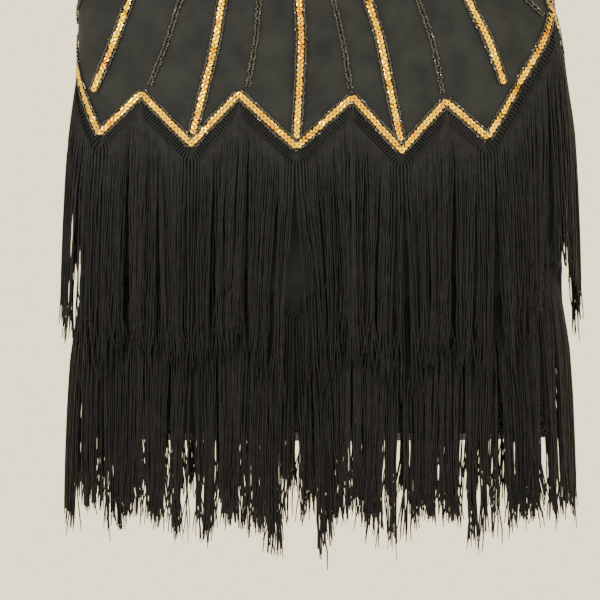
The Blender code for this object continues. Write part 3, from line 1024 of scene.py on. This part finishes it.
def spot_at(stitch, lift, aside, tilt, turn, dice):
    """Where one sequin or bead sits, turned a little at random."""
    across = stitch.normal.cross(stitch.direction).normalized()
    along = across.cross(stitch.normal).normalized()
    basis = Matrix((along, across, stitch.normal)).transposed()
    wobble = Matrix.Rotation(tilt + dice.gauss(0, WOBBLE), 3, "Y")
    wobble = wobble @ Matrix.Rotation(dice.gauss(0, WOBBLE), 3, "X")
    if turn:
        wobble = Matrix.Rotation(dice.uniform(-turn, turn), 3, "Z") @ wobble
    spot = (basis @ wobble).to_4x4()
    spot.translation = stitch.point + stitch.normal * lift + across * aside
    return spot


def sew(name, shape, spots, finish):
    """A joined mesh with a copy of one shape at each spot."""
    every_point = []
    every_face = []
    for index, spot in enumerate(spots):
        turned = shape.points @ np.array(spot.to_3x3()).T + np.array(spot.translation)
        every_point.append(turned)
        start = index * len(shape.points)
        every_face.extend(tuple(start + corner for corner in face) for face in shape.faces)
    mesh = bpy.data.meshes.new(name)
    mesh.from_pydata(np.concatenate(every_point).tolist(), [], every_face)
    mesh.materials.append(finish.material)
    piece = bpy.data.objects.new(name, mesh)
    bpy.context.scene.collection.objects.link(piece)
    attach(piece, "root")
    print(name, len(spots), "copies,", len(every_face), "faces")
    return piece


print("a copy leans by about:", round(math.degrees(WOBBLE)), "degrees")

# %% [markdown]
# Three gold rays run from the neck to valleys of the border, two more end just above
# the outer valleys, and pairs of bead rows run between them to the peaks. Along each
# side seam a gold ray runs on from the border to the armhole, with a pair of bead rows
# beside it. A ray bends a little, so it is given by three places: low, middle, high.

# %% Lay out the rays
RAY_PLACES = 90
BORDER_PLACES = 500
SEAM_MARGIN = 0.004
Ray = namedtuple("Ray", "low middle high")
FRONT_GOLD = (
    Ray((0.0, 264), (0.0, 385), (0.0, 716)),
    Ray((-0.385, 268), (-0.29, 385), (-0.045, 731)),
    Ray((0.385, 262), (0.26, 385), (0.045, 731)),
    Ray((-0.79, 308), (-0.655, 385), (-0.11, 755)),
    Ray((0.765, 313), (0.645, 385), (0.11, 755)),
    Ray((-0.995, 380), (-0.96, 430), (-0.90, 672)),
    Ray((0.995, 382), (0.96, 430), (0.90, 672)),
)
FRONT_BEADS = (
    Ray((-0.19, 308), (-0.15, 385), (-0.02, 690)),
    Ray((0.19, 306), (0.13, 385), (0.02, 690)),
    Ray((-0.56, 311), (-0.45, 385), (-0.06, 690)),
    Ray((0.535, 303), (0.45, 385), (0.06, 690)),
    Ray((0.95, 375), (0.88, 390), (0.62, 640)),
    Ray((-0.95, 373), (-0.88, 390), (-0.62, 640)),
)
BACK_TOPS = {716: 794, 731: 796, 755: 800}  # the back's neck is higher than the front's


def ray_places(ray):
    """A ray of the pattern as many close places."""
    arounds, heights = zip(*ray)
    bend = np.polyfit(heights, arounds, 2)
    levels = np.linspace(heights[0], heights[-1], RAY_PLACES)
    return [(float(np.polyval(bend, level)), level * MM) for level in levels]


def border_places(corners):
    """The zigzag border as many close places."""
    first = corners[0].around + SEAM_MARGIN
    last = corners[-1].around - SEAM_MARGIN
    arounds = np.linspace(first, last, BORDER_PLACES)
    return [(float(around), zigzag_height(corners, "border", around)) for around in arounds]


def turned_to_back(rays):
    """The same layout on the back, with the upper ends moved up to its neck."""
    moved = []
    for ray in rays:
        low, middle, high = [(around + HALF_WAY_ROUND, height) for around, height in ray]
        moved.append(Ray(low, middle, (high[0], BACK_TOPS.get(high[1], high[1]))))
    return moved


print("rays on each panel:", len(FRONT_GOLD), "gold and", len(FRONT_BEADS), "black")

# %% [markdown]
# The border and each gold ray are a row of sequins with a row of beads on each side. A
# black ray is two rows of beads side by side.

# %% Sew both panels
SEQUIN_PITCH = 4.05 * MM
SEQUIN_LIFT = 1.5 * MM
SEQUIN_TILT = math.radians(11)
BEAD_PITCH = 2.1 * MM
BEAD_LIFT = 1.2 * MM
BEAD_TURN = 0.9  # radians
Pair = namedtuple("Pair", "offset jitter")
BESIDE_GOLD = Pair(offset=4.1 * MM, jitter=0.3 * MM)
ALONE = Pair(offset=1.5 * MM, jitter=0.4 * MM)


def bead_spots_beside(line, pair, dice):
    """A row of beads on each side of a line."""
    spots = []
    for side in (-pair.offset, pair.offset):
        for stitch in stitches(line, BEAD_PITCH):
            aside = side + dice.gauss(0, pair.jitter)
            spots.append(spot_at(stitch, BEAD_LIFT, aside, 0, BEAD_TURN, dice))
    return spots


def decorate(side, corners, gold_rays, bead_rays):
    """Sequins and beads of one panel."""
    dice = random.Random(side)
    sequin_spots = []
    bead_spots = []
    for line in [border_places(corners)] + [ray_places(ray) for ray in gold_rays]:
        for stitch in stitches(line, SEQUIN_PITCH):
            sequin_spots.append(spot_at(stitch, SEQUIN_LIFT, 0, SEQUIN_TILT, 0, dice))
        bead_spots += bead_spots_beside(line, BESIDE_GOLD, dice)
    for ray in bead_rays:
        bead_spots += bead_spots_beside(ray_places(ray), ALONE, dice)
    sequins = sew(f"{side}_sequins", SEQUIN, sequin_spots, gold_film)
    beads = sew(f"{side}_beads", BEAD, bead_spots, bead_glass)
    return [sequins, beads]


front_trim = decorate("front", FRONT_CORNERS, FRONT_GOLD, FRONT_BEADS)
back_trim = decorate("back", BACK_CORNERS, turned_to_back(FRONT_GOLD), turned_to_back(FRONT_BEADS))
